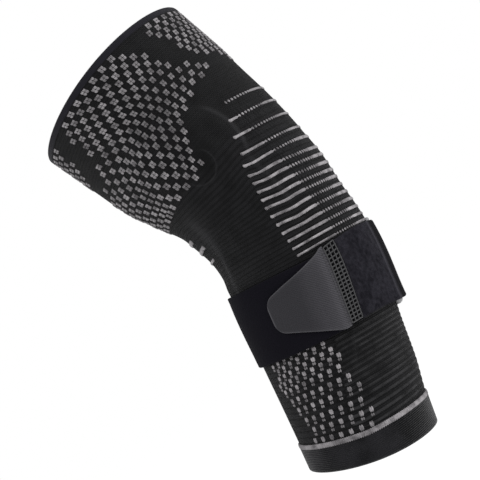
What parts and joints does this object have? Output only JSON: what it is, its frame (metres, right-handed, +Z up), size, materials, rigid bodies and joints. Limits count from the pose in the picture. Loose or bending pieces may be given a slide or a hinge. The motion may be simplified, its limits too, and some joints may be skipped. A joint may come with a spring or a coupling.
{
  "type": "elbow brace",
  "caption": "Bent knitted compression sleeve for the elbow, open at both ends, with a ring pad inside and a wrap strap with a hook tab on the forearm.",
  "frame": {"origin": "the middle of the elbow, where an arm would hold the brace: the centre of the hollow at the bend", "axes": "+Z up the arm towards the wide rim, +X towards the outside of the bend, the arm bends in the XZ plane, and the side with the strap's tab faces -Y"},
  "size_m": [0.1358, 0.1082, 0.2907],
  "materials": {
    "knit": "black circular knit with light grey checks, stripes and a grey ring",
    "pad": "soft matt silicone",
    "strap": "blue-black brushed loop webbing",
    "tab": "dark grey coated tab with grey zigzag stitching"
  },
  "bodies": {
    "root": {"knit_sleeve": "knit", "pressure_pad": "pad", "forearm_strap": "strap", "hook_tab": "tab"}
  },
  "joints": []
}
